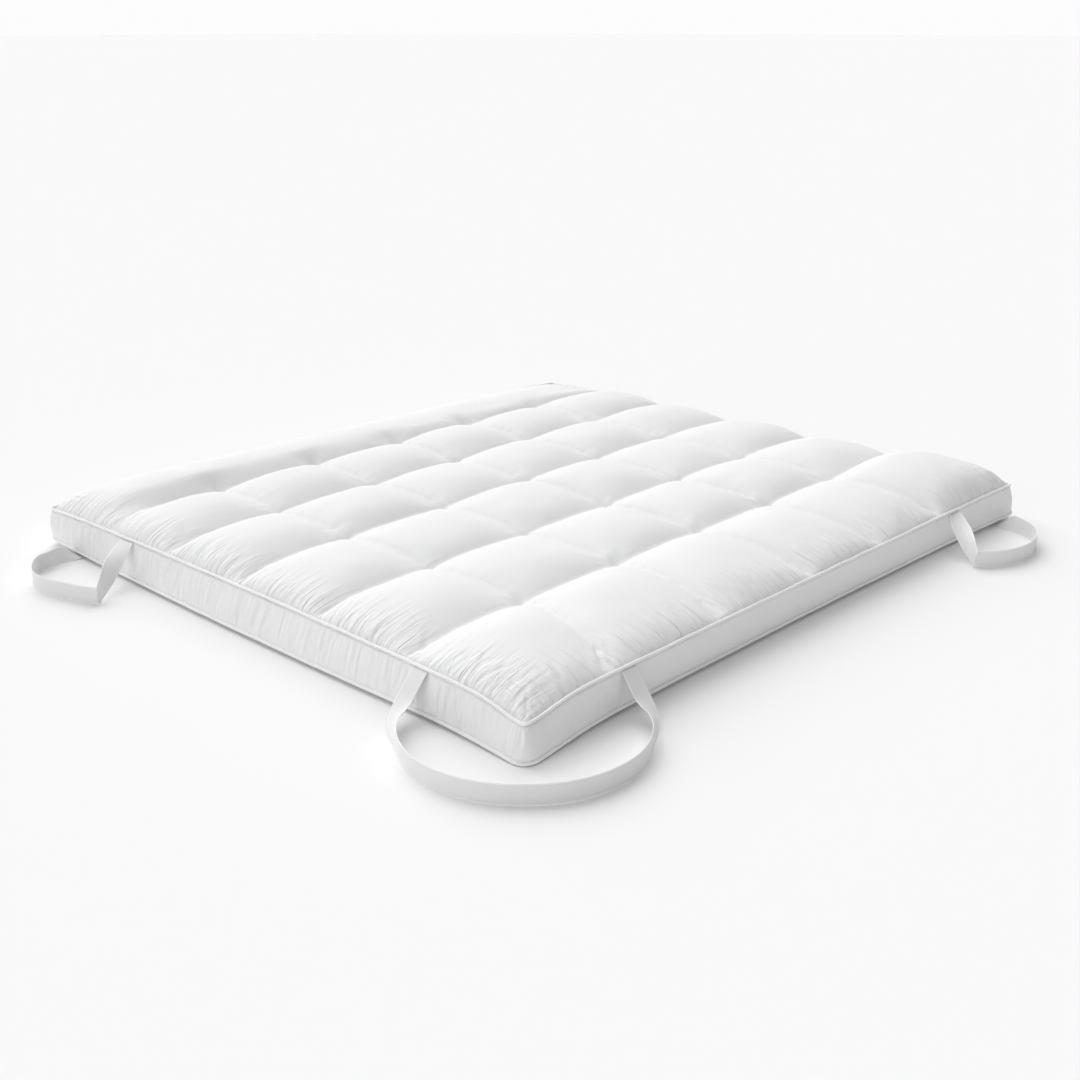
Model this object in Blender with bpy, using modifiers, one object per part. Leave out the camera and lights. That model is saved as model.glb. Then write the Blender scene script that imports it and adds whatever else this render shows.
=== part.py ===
"""Quilted mattress topper with piped edges and four elastic corner straps.

It lies flat, +Z up. The origin is under its middle, on the surface it rests on.
+X runs along the long side and +Y along the short side. The corners are named as
they are seen from outside the corner at low X and low Y, which is the near one.
"""
import math

import bmesh
import bpy
import numpy as np
from mathutils import Vector

# Driving dimensions, in metres. The length and width are those of the piped seams.
LENGTH = 2.00
WIDTH = 1.80
CLEARANCE = 0.0003

TOP_SEAM_HEIGHT = 0.104
QUILT_SEAM_HEIGHT = 0.127
POCKET_CROWN = 0.038
RIGHT_CORNER_CROWN = 0.061
ROLL_CROWN_LEFT_END = 0.050
ROLL_CROWN_FAR_END = 0.010
BASE_THICKNESS = 0.0015
BAND_THICKNESS = 0.0015
PIPING_RADIUS = 0.0035
STRAP_WIDTH = 0.045
STRAP_THICKNESS = 0.002

# Stitched lines of the quilting, as distances from the near corner. The row beyond the
# last seam along the width is one unbroken roll, only pinched where the others meet it.
SEAMS_ALONG_LENGTH = (0.354, 0.681, 0.996, 1.297, 1.602)
SEAMS_ALONG_WIDTH = (0.358, 0.663, 0.966, 1.252, 1.515)
STEPS_PER_POCKET = 7
POCKET_POWER = 3.4
SHOULDER_POWER = 8.0
EDGE_RISE_POWER = 3.1
ROLL_PINCH = 0.25

# How far the middle of each side stands out from the straight, at the top seam and at the
# base. Below 0 it is drawn in.
BOWS_LOW_X = (-0.015, 0.006)
BOWS_HIGH_X = (-0.009, -0.009)
BOWS_LOW_Y = (-0.002, -0.024)
BOWS_HIGH_Y = (-0.009, -0.009)
BOW_POWER = 4
BAND_BULGE = 0.004

# Levels of the wall: corner radius, and how far down it lies, from 0 at the top seam to 1
# at the base.
TOP_LEVEL = (0.014, 0.0)
SHOULDER_LEVEL = (0.0154, 0.09)
MIDDLE_LEVEL = (0.022, 0.5)
BASE_LEVEL = (0.034, 1.0)

CORNERS = (
    # name, side in x, side in y, top droop, base lift, base flare
    ("near", -1, -1, 0.022, 0.000, 0.018),
    ("left", -1, 1, 0.004, 0.018, 0.008),
    ("right", 1, -1, 0.003, 0.016, 0.014),
    ("far", 1, 1, 0.008, 0.010, 0.008),
)
DROOP_REACH = 0.10
FLARE_REACH = 0.15
LIFT_REACH = 0.30

# Insets from the piped seams: the body's wall, its rim and foot, behind the piping.
WALL_MARGIN = 0.0015
WALL_INSET = BAND_THICKNESS + WALL_MARGIN
RIM_INSET = PIPING_RADIUS + CLEARANCE
FOOT_MARGIN = 0.0018
FOOT_INSET = RIM_INSET + FOOT_MARGIN
EDGE_FADE_POWER = 12
PIPING_HEIGHT = PIPING_RADIUS + CLEARANCE
SHOULDER_DEPTH = 0.012
FOOT_HEIGHT = 0.0095
FLAT_MIDDLE_INSET = LIFT_REACH  # further in than this, no corner lifts the underside

RING_STEPS_PER_SIDE = 18
RING_STEPS_PER_CORNER = 4
STEPS_PER_STRAP_ROW = 3
PIPING_BEVEL_STEPS = 2

# Materials: colour and roughness.
QUILTED_COTTON = ((0.88, 0.88, 0.87, 1.0), 0.85)
BAND_COTTON = ((0.88, 0.88, 0.87, 1.0), 0.85)
BASE_COTTON = ((0.88, 0.88, 0.87, 1.0), 0.90)
PIPING_COTTON = ((0.92, 0.92, 0.91, 1.0), 0.80)
WOVEN_ELASTIC = ((0.78, 0.78, 0.77, 1.0), 0.75)


def clear_scene():
    for old in list(bpy.data.objects):
        bpy.data.objects.remove(old, do_unlink=True)


def make_collection(name):
    collection = bpy.data.collections.new(name)
    bpy.context.scene.collection.children.link(collection)
    return collection


def make_material(name, colour, roughness):
    """A plain cloth material."""
    material = bpy.data.materials.new(name)
    material.use_nodes = True
    shader = material.node_tree.nodes["Principled BSDF"]
    shader.inputs["Base Color"].default_value = colour
    shader.inputs["Roughness"].default_value = roughness
    shader.inputs["Metallic"].default_value = 0.0
    return material


def add_object(name, data, material, collection):
    data.materials.append(material)
    piece = bpy.data.objects.new(name, data)
    collection.objects.link(piece)
    return piece


def mesh_from(bm, name):
    bmesh.ops.recalc_face_normals(bm, faces=bm.faces)
    mesh = bpy.data.meshes.new(name)
    bm.to_mesh(mesh)
    bm.free()
    mesh.shade_smooth()
    return mesh


# The plan: a rectangle with round corners and sides that are drawn in or bowed out.

def corner_distance(x, y, side_x, side_y):
    return math.hypot(x - side_x * LENGTH / 2, y - side_y * WIDTH / 2)


def top_droop(x, y):
    """How far the top seam hangs below its usual height, near the corners."""
    return sum(
        droop * math.exp(-((corner_distance(x, y, side_x, side_y) / DROOP_REACH) ** 2))
        for _, side_x, side_y, droop, _, _ in CORNERS
    )


def base_lift(x, y):
    """How far the base is drawn up off the surface, near the corners."""
    return sum(
        lift * max(0.0, 1 - corner_distance(x, y, side_x, side_y) / LIFT_REACH) ** 2
        for _, side_x, side_y, _, lift, _ in CORNERS
    )


def base_flare(x, y):
    """How far the base seam stands out past the top one, near the corners."""
    return sum(
        flare * math.exp(-((corner_distance(x, y, side_x, side_y) / FLARE_REACH) ** 2))
        for _, side_x, side_y, _, _, flare in CORNERS
    )


def side_bow(bows, depth, towards_side, along_side):
    """How far out a point is moved: most at the middle of its side, not at all inland."""
    top, base = bows
    bow = top + (base - top) * depth
    return bow * towards_side ** BOW_POWER * (1 - min(along_side, 1) ** 2)


def plan_point(x, y, level, inset):
    """Move a point of the plain rectangle's outline to the topper's outline."""
    radius, depth = level
    half_x = LENGTH / 2 - inset
    half_y = WIDTH / 2 - inset
    px = x * half_x / (LENGTH / 2)
    py = y * half_y / (WIDTH / 2)
    round_x = max(abs(px) - (half_x - radius), 0.0)
    round_y = max(abs(py) - (half_y - radius), 0.0)
    if round_x > 0 and round_y > 0:
        scale = radius / math.hypot(round_x, round_y)
        px = math.copysign(half_x - radius + round_x * scale, px)
        py = math.copysign(half_y - radius + round_y * scale, py)
    share_x, share_y = abs(px / half_x), abs(py / half_y)
    bow_x = side_bow(BOWS_LOW_X if px < 0 else BOWS_HIGH_X, depth, share_x, share_y)
    bow_y = side_bow(BOWS_LOW_Y if py < 0 else BOWS_HIGH_Y, depth, share_y, share_x)
    flare = depth * base_flare(x, y)
    return px + math.copysign(1, px) * (flare + bow_x), py + math.copysign(1, py) * (flare + bow_y)


def ring_steps(length):
    """Positions along one side for the band and the piping, close together at the corners."""
    radius = BASE_LEVEL[0]
    corner = [radius * k / RING_STEPS_PER_CORNER for k in range(RING_STEPS_PER_CORNER)]
    middle = np.linspace(radius, length - radius, RING_STEPS_PER_SIDE + 1)
    far_corner = [length - step for step in reversed(corner)]
    return [step - length / 2 for step in (*corner, *middle, *far_corner)]


def rectangle_outline(steps_x, steps_y):
    """Points in order round the plain rectangle, at these positions along its sides."""
    half_x, half_y = LENGTH / 2, WIDTH / 2
    points = [(x, -half_y) for x in steps_x[:-1]]
    points += [(half_x, y) for y in steps_y[:-1]]
    points += [(x, half_y) for x in reversed(steps_x[1:])]
    points += [(-half_x, y) for y in reversed(steps_y[1:])]
    return points


def top_seam_height(x, y):
    return TOP_SEAM_HEIGHT - top_droop(x, y)


# The filled and quilted body.

def seam_positions(seams, length):
    return [-length / 2] + [seam - length / 2 for seam in seams] + [length / 2]


def pocket_steps(lines):
    """Grid lines across all pockets, closer together at the stitched seams."""
    steps = [lines[0]]
    for low, high in zip(lines, lines[1:]):
        for k in range(1, STEPS_PER_POCKET + 1):
            share = (1 - math.cos(math.pi * k / STEPS_PER_POCKET)) / 2
            steps.append(low + (high - low) * share)
    return steps


def pocket_bulge(value, lines):
    """0 on a seam and 1 in the middle of a pocket; fuller towards the topper's edge."""
    last = len(lines) - 2
    cell = min(max(sum(value >= line for line in lines) - 1, 0), last)
    across = 2 * (value - lines[cell]) / (lines[cell + 1] - lines[cell]) - 1
    outer = (cell == 0 and across < 0) or (cell == last and across > 0)
    return 1 - abs(across) ** (SHOULDER_POWER if outer else POCKET_POWER)


def edge_rise(value, lines):
    """0 at the topper's edge and 1 from the first seam inwards."""
    share = min(
        (value - lines[0]) / (lines[1] - lines[0]),
        (lines[-1] - value) / (lines[-1] - lines[-2]),
        1.0,
    )
    return 1 - (1 - max(share, 0.0)) ** EDGE_RISE_POWER


def roll_share(y, lines_y):
    """0 up to the last seam along the width, and 1 in the unbroken roll beyond it."""
    share = (y - lines_y[-2]) / (lines_y[-1] - lines_y[-2]) / ROLL_PINCH
    return min(max(share, 0.0), 1.0)


def roll_bulge(x, lines_x):
    """1 along the roll, and rounded off at its two ends."""
    into_end = max(
        (lines_x[1] - x) / (lines_x[1] - lines_x[0]),
        (x - lines_x[-2]) / (lines_x[-1] - lines_x[-2]),
        0.0,
    )
    return 1 - min(into_end, 1.0) ** SHOULDER_POWER


def pocket_crown(x, y, lines_x, lines_y):
    if x > lines_x[-2] and y < lines_y[1]:
        return RIGHT_CORNER_CROWN
    along = x / LENGTH + 0.5
    roll_crown = ROLL_CROWN_LEFT_END + (ROLL_CROWN_FAR_END - ROLL_CROWN_LEFT_END) * along
    return POCKET_CROWN + (roll_crown - POCKET_CROWN) * roll_share(y, lines_y)


def quilted_height(x, y, lines_x, lines_y):
    rise = edge_rise(x, lines_x) * edge_rise(y, lines_y)
    rim = top_seam_height(x, y)
    unbroken = roll_share(y, lines_y)
    bulge_x = pocket_bulge(x, lines_x) * (1 - unbroken) + roll_bulge(x, lines_x) * unbroken
    crown = pocket_crown(x, y, lines_x, lines_y) * bulge_x * pocket_bulge(y, lines_y)
    return rim + (QUILT_SEAM_HEIGHT - rim) * rise + crown


def quilted_plan(x, y):
    """Where a grid point lies in plan: only points near the edge are moved."""
    share = max(abs(x) / (LENGTH / 2), abs(y) / (WIDTH / 2))
    if share == 0:
        return x, y
    edge_x, edge_y = x / share, y / share
    moved_x, moved_y = plan_point(edge_x, edge_y, TOP_LEVEL, RIM_INSET)
    fade = share ** EDGE_FADE_POWER
    return x + (moved_x - edge_x) * fade, y + (moved_y - edge_y) * fade


def extrude_ring(bm, edges, level, inset, height):
    """Extrude a closed ring of edges to another outline; height is a function of x, y."""
    plain = bm.verts.layers.float_vector["plain"]
    made = bmesh.ops.extrude_edge_only(bm, edges=edges)["geom"]
    for vert in (item for item in made if isinstance(item, bmesh.types.BMVert)):
        x, y = plan_point(vert[plain].x, vert[plain].y, level, inset)
        vert.co = (x, y, height(x, y))
    return [item for item in made if isinstance(item, bmesh.types.BMEdge)]


def close_underside(bm, ring):
    """Fill the flat middle, and split the rest alike in every piece, so none cross."""
    bmesh.ops.contextual_create(bm, geom=ring)
    bmesh.ops.triangulate(bm, faces=bm.faces, quad_method="SHORT_EDGE")


def build_quilted_body(material, collection):
    lines_x = seam_positions(SEAMS_ALONG_LENGTH, LENGTH)
    lines_y = seam_positions(SEAMS_ALONG_WIDTH, WIDTH)
    steps_x, steps_y = pocket_steps(lines_x), pocket_steps(lines_y)
    count = len(steps_x) - 1
    bm = bmesh.new()
    bmesh.ops.create_grid(bm, x_segments=count, y_segments=count, size=count / 2)
    plain = bm.verts.layers.float_vector.new("plain")
    for vert in bm.verts:
        x = steps_x[round(vert.co.x + count / 2)]
        y = steps_y[round(vert.co.y + count / 2)]
        vert[plain] = (x, y, 0)
        vert.co = (*quilted_plan(x, y), quilted_height(x, y, lines_x, lines_y))
    ring = [edge for edge in bm.edges if edge.is_boundary]
    underside = BASE_THICKNESS + CLEARANCE
    rings = (
        # level, inset, height
        (SHOULDER_LEVEL, WALL_INSET, lambda x, y: top_seam_height(x, y) - SHOULDER_DEPTH),
        (BASE_LEVEL, WALL_INSET, lambda x, y: base_lift(x, y) + FOOT_HEIGHT),
        (BASE_LEVEL, FOOT_INSET, lambda x, y: base_lift(x, y) + underside),
        (BASE_LEVEL, FLAT_MIDDLE_INSET, lambda x, y: underside),
    )
    for level, inset, height in rings:
        ring = extrude_ring(bm, ring, level, inset, height)
    close_underside(bm, ring)
    return add_object("quilted_body", mesh_from(bm, "quilted_body"), material, collection)


# The cloth round and under the body.

def start_ring(bm, outline, level, inset, height):
    """A closed ring of edges on the topper's outline."""
    plain = bm.verts.layers.float_vector.new("plain")
    made = bmesh.ops.create_circle(bm, segments=len(outline), radius=1)["verts"]
    made.sort(key=lambda vert: math.atan2(vert.co.y, vert.co.x))
    for vert, (x, y) in zip(made, outline):
        vert[plain] = (x, y, 0)
        moved_x, moved_y = plan_point(x, y, level, inset)
        vert.co = (moved_x, moved_y, height(moved_x, moved_y))
    return list(bm.edges)


def add_thickness(piece, thickness, offset):
    solidify = piece.modifiers.new("Thickness", "SOLIDIFY")
    solidify.thickness = thickness
    solidify.offset = offset
    solidify.use_even_offset = True


def build_gusset_band(material, collection):
    bm = bmesh.new()
    bottom = PIPING_HEIGHT + PIPING_RADIUS + CLEARANCE
    outline = rectangle_outline(ring_steps(LENGTH), ring_steps(WIDTH))
    ring = start_ring(
        bm, outline, BASE_LEVEL, 0.0, lambda x, y: base_lift(x, y) + bottom)
    ring = extrude_ring(
        bm, ring, MIDDLE_LEVEL, -BAND_BULGE,
        lambda x, y: (top_seam_height(x, y) + base_lift(x, y)) / 2)
    extrude_ring(
        bm, ring, TOP_LEVEL, 0.0,
        lambda x, y: top_seam_height(x, y) - PIPING_RADIUS - CLEARANCE)
    piece = add_object("gusset_band", mesh_from(bm, "gusset_band"), material, collection)
    add_thickness(piece, BAND_THICKNESS, -1)
    return piece


def build_base_panel(material, collection):
    bm = bmesh.new()
    steps_x = pocket_steps(seam_positions(SEAMS_ALONG_LENGTH, LENGTH))
    steps_y = pocket_steps(seam_positions(SEAMS_ALONG_WIDTH, WIDTH))
    outline = rectangle_outline(steps_x, steps_y)
    ring = start_ring(bm, outline, BASE_LEVEL, FOOT_INSET, base_lift)
    ring = extrude_ring(bm, ring, BASE_LEVEL, FLAT_MIDDLE_INSET, lambda x, y: 0.0)
    close_underside(bm, ring)
    mesh = mesh_from(bm, "base_panel")
    piece = add_object("base_panel", mesh, material, collection)
    points_up = sum(face.normal.z for face in mesh.polygons) > 0
    add_thickness(piece, BASE_THICKNESS, 1 if points_up else -1)
    return piece


def build_piping(name, level, height, material, collection):
    """A round covered cord that runs all the way round on one seam."""
    outline = rectangle_outline(ring_steps(LENGTH), ring_steps(WIDTH))
    points = [plan_point(x, y, level, 0.0) for x, y in outline]
    curve = bpy.data.curves.new(name, "CURVE")
    curve.dimensions = "3D"
    curve.bevel_depth = PIPING_RADIUS
    curve.bevel_resolution = PIPING_BEVEL_STEPS
    spline = curve.splines.new("POLY")
    spline.points.add(len(points) - 1)
    for point, (x, y) in zip(spline.points, points):
        point.co = (x, y, height(x, y), 1)
    spline.use_cyclic_u = True
    return add_object(name, curve, material, collection)


# The elastic straps. Each corner has its own two axes: "first" and "second" run from
# the corner along its two sides, so a point outside the first side has a second below 0.

# A limb leaves its seam with its width level, and lands standing on its edge.
LIMB_TOP = 0.0985
GENTLE_LIMB = (
    # along, out, height, width direction: to the corner, up
    (0.304, 0.000, LIMB_TOP, 1.00, 0.00),
    (0.304, 0.016, 0.0760, 1.00, 0.00),
    (0.303, 0.036, 0.0505, 1.00, 0.00),
    (0.293, 0.064, 0.0345, 0.98, 0.30),
    (0.265, 0.101, 0.0265, 0.62, 0.79),
    (0.212, 0.143, 0.0235, 0.05, 1.00),
)
STRAIGHT_LIMB_ROWS = 6
LEFT_LIMB = {"from_along": 0.378, "to_along": 0.487, "to_out": 0.147}
RIGHT_LIMB = {"from_along": 0.334, "to_along": 0.435, "to_out": 0.124}

# Where the part that stands on its edge passes: first, second.
NEAR_ARC = (
    (0.125, -0.184), (0.036, -0.188), (-0.045, -0.163), (-0.112, -0.112),
    (-0.163, -0.045), (-0.188, 0.036), (-0.184, 0.125),
)
LEFT_ARC = (
    (0.440, -0.170), (0.398, -0.183), (0.350, -0.198), (0.303, -0.205),
    (0.255, -0.196), (0.219, -0.176), (0.190, -0.152),
)
RIGHT_ARC = (
    (0.395, -0.158), (0.354, -0.180), (0.300, -0.193), (0.250, -0.192),
    (0.201, -0.179), (0.162, -0.160), (0.137, -0.139),
)

# Two straps lean over and are pressed flat under their lifted corner. Their height is
# left at 0 here, and resting_height raises them on to the surface.
LEFT_TUCK = (
    # along, out, height, width direction: to the corner, up
    (0.173, 0.132, 0.0, 0.00, 1.00),
    (0.168, 0.100, 0.0, 0.10, 1.00),
    (0.160, 0.070, 0.0, 0.30, 0.95),
    (0.153, 0.045, 0.0, 0.60, 0.80),
    (0.147, 0.024, 0.0, 0.95, 0.32),
    (0.144, 0.009, 0.0, 1.00, 0.05),
    (0.143, 0.000, 0.0, 1.00, 0.05),
)
RIGHT_TUCK = (
    # along, out, height, width direction: to the corner, up
    (0.123, 0.121, 0.0, 0.00, 1.00),
    (0.105, 0.085, 0.0, 0.20, 0.98),
    (0.091, 0.056, 0.0, 0.55, 0.84),
    (0.074, 0.026, 0.0, 0.95, 0.32),
    (0.066, 0.009, 0.0, 1.00, 0.05),
    (0.063, 0.000, 0.0, 1.00, 0.05),
)
LEFT_UNDER = ((0.132, 0.055), (0.101, 0.101), (0.055, 0.132))
RIGHT_UNDER = ((0.060, 0.050), (0.048, 0.095), (0.025, 0.128))
UNDER_TILT = 0.05

STRAPS = {
    "strap_near": {
        "corner": (-1, -1), "first": (0, 1), "second": (1, 0),
        "limb": GENTLE_LIMB, "arc": NEAR_ARC,
    },
    "strap_left": {
        "corner": (-1, 1), "first": (0, -1), "second": (1, 0),
        "limb": LEFT_LIMB, "arc": LEFT_ARC, "tuck": LEFT_TUCK, "under": LEFT_UNDER,
    },
    "strap_right": {
        "corner": (1, -1), "first": (-1, 0), "second": (0, 1),
        "limb": RIGHT_LIMB, "arc": RIGHT_ARC, "tuck": RIGHT_TUCK, "under": RIGHT_UNDER,
    },
    "strap_far": {
        "corner": (1, 1), "first": (-1, 0), "second": (0, -1),
        "limb": GENTLE_LIMB, "arc": NEAR_ARC, "spread": 0.92,
    },
}
SIDE_REACH = 0.10  # a limb follows the bow of its side up to this far out from it


def straight_limb(from_along, to_along, to_out):
    """The rows of a limb that runs straight down, turning evenly on to its edge."""
    rows = []
    for share in np.linspace(0, 1, STRAIGHT_LIMB_ROWS):
        turn = math.pi / 2 * share
        rows.append((
            from_along + (to_along - from_along) * share, to_out * share,
            LIMB_TOP + (STRAP_WIDTH / 2 - LIMB_TOP) * share,
            math.cos(turn), math.sin(turn),
        ))
    return rows


def limb_rows(limb, first, second, swapped):
    """Rows of x, y, z and the direction across the strap, in the corner's axes."""
    rows = []
    for along, out, height, to_corner, up in limb:
        place = (-out, along) if swapped else (along, -out)
        across = (0.0, -to_corner) if swapped else (-to_corner, 0.0)
        rows.append((
            *(first * place[0] + second * place[1]), height,
            *(first * across[0] + second * across[1]), up,
        ))
    return rows


def arc_rows(arc, first, second):
    standing = STRAP_WIDTH / 2
    return [(*(first * a + second * b), standing, 0.0, 0.0, 1.0) for a, b in arc]


def under_rows(under, first, second):
    """The flat part under a corner: its width points at the corner."""
    rows = []
    for a, b in under:
        place = first * a + second * b
        rows.append((*place, 0.0, *(-place / np.linalg.norm(place)), UNDER_TILT))
    return rows


def smooth_rows(rows):
    """A smooth curve through the rows, all columns alike, by Hermite pieces."""
    rows = np.array(rows)
    lengths = np.linalg.norm(np.diff(rows[:, :3], axis=0), axis=1)[:, None]
    slopes = np.diff(rows, axis=0) / lengths
    inner = slopes[:-1] * lengths[1:] + slopes[1:] * lengths[:-1]
    inner /= lengths[:-1] + lengths[1:]
    tangents = np.vstack([slopes[:1], inner, slopes[-1:]])
    fine = []
    for index, length in enumerate(lengths):
        for step in range(STEPS_PER_STRAP_ROW):
            t = step / STEPS_PER_STRAP_ROW
            fine.append(
                (1 + 2 * t) * (1 - t) ** 2 * rows[index]
                + t * (1 - t) ** 2 * length * tangents[index]
                + t ** 2 * (3 - 2 * t) * rows[index + 1]
                - t ** 2 * (1 - t) * length * tangents[index + 1]
            )
    fine.append(rows[-1])
    return np.array(fine)


def band_face(x, y, height, corner, axis):
    """The band's outer face, along one axis, on the side of this corner next to x, y."""
    half_height = TOP_SEAM_HEIGHT / 2
    bulge = BAND_BULGE * max(1 - abs(height - half_height) / half_height, 0.0)
    edge = [x, y]
    edge[axis] = corner[axis] * (LENGTH, WIDTH)[axis] / 2
    depth = min(max(1 - height / TOP_SEAM_HEIGHT, 0.0), 1.0)
    return plan_point(*edge, (MIDDLE_LEVEL[0], depth), -bulge)[axis]


def seat_on_band(centre, half, corner):
    """Shift a section near a side with that side's own bow, and keep it off the band."""
    gap = STRAP_THICKNESS / 2 + CLEARANCE
    sizes = (LENGTH / 2, WIDTH / 2)
    beyond = [corner[axis] * centre[axis] - sizes[axis] for axis in (0, 1)]
    for axis in (0, 1):
        if abs(beyond[axis]) < SIDE_REACH and beyond[1 - axis] < -SIDE_REACH:
            points = (centre - half, centre, centre + half)
            faces = [corner[axis] * band_face(*point, corner, axis) + gap for point in points]
            short = max(
                face - corner[axis] * point[axis] for face, point in zip(faces, points))
            nearness = 1 - max(beyond[axis], 0.0) / SIDE_REACH
            centre[axis] += corner[axis] * max(short, (max(faces) - sizes[axis]) * nearness)


def strap_route(first, second, limb, arc, tuck, under):
    """The rows of one strap, from its first seam to its second; a tucked one is creased."""
    rows = straight_limb(**limb) if isinstance(limb, dict) else limb
    start = limb_rows(rows, first, second, swapped=False)
    middle = arc_rows(arc, first, second)
    end = limb_rows(GENTLE_LIMB, first, second, swapped=True)[::-1]
    if not tuck:
        return smooth_rows(start + middle + end)
    middle += limb_rows(tuck, first, second, swapped=False)
    middle += under_rows(under, first, second)
    middle += limb_rows(LEFT_TUCK, first, second, swapped=True)[::-1]
    return np.vstack([smooth_rows(start)[:-1], smooth_rows([start[-1]] + middle + end)])


def resting_height(across):
    """How high the middle of each section is when its lower edge is on the surface."""
    steepness = np.abs(across[:, 2]) / np.linalg.norm(across, axis=1)
    flatness = np.sqrt(1 - np.minimum(steepness, 1.0) ** 2)
    return STRAP_WIDTH / 2 * steepness + (STRAP_THICKNESS / 2 + CLEARANCE) * flatness


def square_across(across, along):
    """Square the width directions to the strap, but let its sewn ends follow the seam."""
    slant = along * np.sum(across * along, axis=1)[:, None]
    square = across - slant
    from_end = np.minimum(np.arange(len(across)), np.arange(len(across))[::-1])
    sewn = np.maximum(1 - from_end / STEPS_PER_STRAP_ROW, 0.0)[:, None]
    return (square + slant * sewn) * STRAP_WIDTH / 2 / np.linalg.norm(square, axis=1)[:, None]


def strap_sections(corner, first, second, limb, arc, tuck=None, under=(), spread=1.0):
    """Centre points and half-width vectors along one strap."""
    first = np.array(first, dtype=float)
    second = np.array(second, dtype=float)
    rows = strap_route(first, second, limb, arc, tuck, under)
    rows[:, :2] *= spread
    rows[:, 0] += corner[0] * LENGTH / 2
    rows[:, 1] += corner[1] * WIDTH / 2
    rows[:, 2] = np.maximum(rows[:, 2], resting_height(rows[:, 3:]))
    along = np.gradient(rows[:, :3], axis=0)
    along /= np.linalg.norm(along, axis=1)[:, None]
    across = square_across(rows[:, 3:], along)
    centres = rows[:, :3]
    centres[:, 2] = np.maximum(centres[:, 2], resting_height(across))
    hanging = centres[:, 2] > STRAP_WIDTH / 2 + CLEARANCE
    for index in np.flatnonzero(hanging):
        seat_on_band(centres[index], across[index], corner)
    return centres, across


def build_strap(name, shape, material, collection):
    centres, across = strap_sections(**shape)
    count = len(centres) - 1
    bm = bmesh.new()
    bmesh.ops.create_grid(bm, x_segments=count, y_segments=1, size=1)
    for vert in bm.verts:
        section = round((vert.co.x + 1) / 2 * count)
        vert.co = Vector(centres[section] + across[section] * vert.co.y)
    piece = add_object(name, mesh_from(bm, name), material, collection)
    add_thickness(piece, STRAP_THICKNESS, 0)
    return piece


def main():
    clear_scene()
    collection = make_collection("mattress_topper")
    cotton = make_material("down_proof_cotton", *QUILTED_COTTON)
    band_cotton = make_material("gusset_cotton", *BAND_COTTON)
    base_cotton = make_material("base_cotton", *BASE_COTTON)
    piping_cotton = make_material("piping_cotton", *PIPING_COTTON)
    elastic = make_material("woven_elastic", *WOVEN_ELASTIC)
    build_quilted_body(cotton, collection)
    build_gusset_band(band_cotton, collection)
    build_base_panel(base_cotton, collection)
    build_piping("piping_top", TOP_LEVEL, top_seam_height, piping_cotton, collection)
    build_piping(
        "piping_bottom", BASE_LEVEL,
        lambda x, y: base_lift(x, y) + PIPING_HEIGHT, piping_cotton, collection)
    for name, shape in STRAPS.items():
        build_strap(name, shape, elastic, collection)


main()
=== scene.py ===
"""Looks of the quilted mattress topper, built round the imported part.

The body is a dense quilted form with its stitched lines, puckers and gathers; the band,
the two piping cords, the base and the four elastic straps are modelled as cloth.
"""
import math

import bmesh
import bpy
import numpy as np
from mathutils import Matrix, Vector


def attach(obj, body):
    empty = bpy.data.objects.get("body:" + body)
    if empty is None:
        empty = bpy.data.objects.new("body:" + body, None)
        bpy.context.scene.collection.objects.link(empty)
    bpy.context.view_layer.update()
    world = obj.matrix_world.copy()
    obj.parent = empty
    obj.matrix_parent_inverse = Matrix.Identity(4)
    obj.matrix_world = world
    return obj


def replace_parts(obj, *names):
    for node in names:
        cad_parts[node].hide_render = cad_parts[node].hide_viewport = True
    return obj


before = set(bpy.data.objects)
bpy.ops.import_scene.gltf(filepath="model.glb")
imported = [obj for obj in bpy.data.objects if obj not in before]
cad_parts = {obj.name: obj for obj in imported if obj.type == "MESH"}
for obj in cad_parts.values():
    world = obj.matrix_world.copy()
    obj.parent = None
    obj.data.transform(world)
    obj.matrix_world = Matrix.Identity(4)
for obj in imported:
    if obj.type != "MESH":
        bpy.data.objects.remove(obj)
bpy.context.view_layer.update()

# Driving dimensions, in metres, as in the part's source.
LENGTH = 2.00
WIDTH = 1.80
HALF = (LENGTH / 2, WIDTH / 2)
CLEARANCE = 0.0003
TOP_SEAM_HEIGHT = 0.104
QUILT_SEAM_HEIGHT = 0.127
PIPING_RADIUS = 0.0035
CLOTH_THICKNESS = 0.0015
STRAP_WIDTH = 0.045
STRAP_THICKNESS = 0.002

SEAMS_ALONG_LENGTH = (0.354, 0.681, 0.996, 1.297, 1.602)
SEAMS_ALONG_WIDTH = (0.358, 0.663, 0.966, 1.252, 1.515)

# How far the middle of each side stands out from the straight, at the top seam and at the
# base. Below 0 it is drawn in. Between the corners the base seam is drawn up off the
# surface here, and at low X and low Y it stands out a little further than in the solids.
BOWS_LOW_X = (-0.015, 0.018)
BOWS_HIGH_X = (-0.009, -0.009)
BOWS_LOW_Y = (-0.002, -0.011)
BOWS_HIGH_Y = (-0.009, -0.009)
BOW_POWER = 4
BAND_BULGE = 0.004
TOP_RADIUS = 0.014
BASE_RADIUS = 0.034
CORNERS = (
    # side in x, side in y, top droop, base lift, base flare
    (-1, -1, 0.022, 0.000, 0.018),
    (-1, 1, 0.004, 0.018, 0.008),
    (1, -1, 0.003, 0.016, 0.014),
    (1, 1, 0.008, 0.010, 0.008),
)
DROOP_REACH = 0.10
FLARE_REACH = 0.15
LIFT_REACH = 0.30
SIDE_LIFT = 0.007  # of the base seam between the corners


# Noise: smooth, seeded, and the same in each run.

NOISE_TABLE_SIZE = 64
TINY = 1e-9  # keeps a division from failing where the result isn't used


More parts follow.
